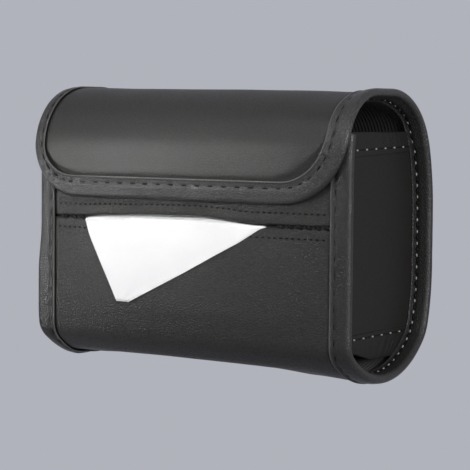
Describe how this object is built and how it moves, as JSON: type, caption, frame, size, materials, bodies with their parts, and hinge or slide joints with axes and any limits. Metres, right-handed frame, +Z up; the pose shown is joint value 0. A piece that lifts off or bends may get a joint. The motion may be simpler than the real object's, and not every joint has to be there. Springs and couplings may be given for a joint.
{
  "type": "car tissue holder",
  "caption": "Soft sewn leather case for a pack of tissues: front slot, bound open ends, a curved flap lid, and elastic back straps for a sun visor or head rest.",
  "frame": {"origin": "on the raised flat middle of the back, between the straps, where the case lies against a sun visor or seat", "axes": "+Z up, +Y out of the back towards the visor or seat, so the front faces -Y, +X to the right as seen from the front, along the case"},
  "size_m": [0.196, 0.0954, 0.1491],
  "materials": {
    "leather": "satin",
    "binding": "satin",
    "lining": "matte",
    "board": "matte",
    "elastic": "matte",
    "hook_and_loop": "matte",
    "tissue": "matte"
  },
  "bodies": {
    "case": {"case_leather": "leather", "front_board": "board", "bottom_board": "board", "back_board": "board", "case_lining": "lining", "slot_strip": "leather", "slot_strip_board": "board", "slot_strip_lining": "lining", "left_gusset": "leather", "right_gusset": "leather", "left_rim_binding": "binding", "right_rim_binding": "binding", "left_strap": "elastic", "left_strap_lower_tab": "leather", "left_strap_upper_tab": "leather", "right_strap": "elastic", "right_strap_lower_tab": "leather", "right_strap_upper_tab": "leather", "tissue_stack": "tissue", "loop_patch": "hook_and_loop"},
    "flap": {"flap_leather": "leather", "flap_board": "board", "flap_lining": "lining", "flap_binding": "binding", "hook_patch": "hook_and_loop"},
    "next_tissue": {"pulled_tissue": "tissue"}
  },
  "joints": [
    {"name": "flap_hinge", "type": "hinge", "parent": "case", "child": "flap", "pos_m": [0, -0.01117, 0.051], "axis": [-1, 0, 0], "range_deg": [0, 140]},
    {"name": "tissue_pull", "type": "slide", "parent": "case", "child": "next_tissue", "axis": [0, -1, 0], "range_m": [0, 0.035]}
  ]
}
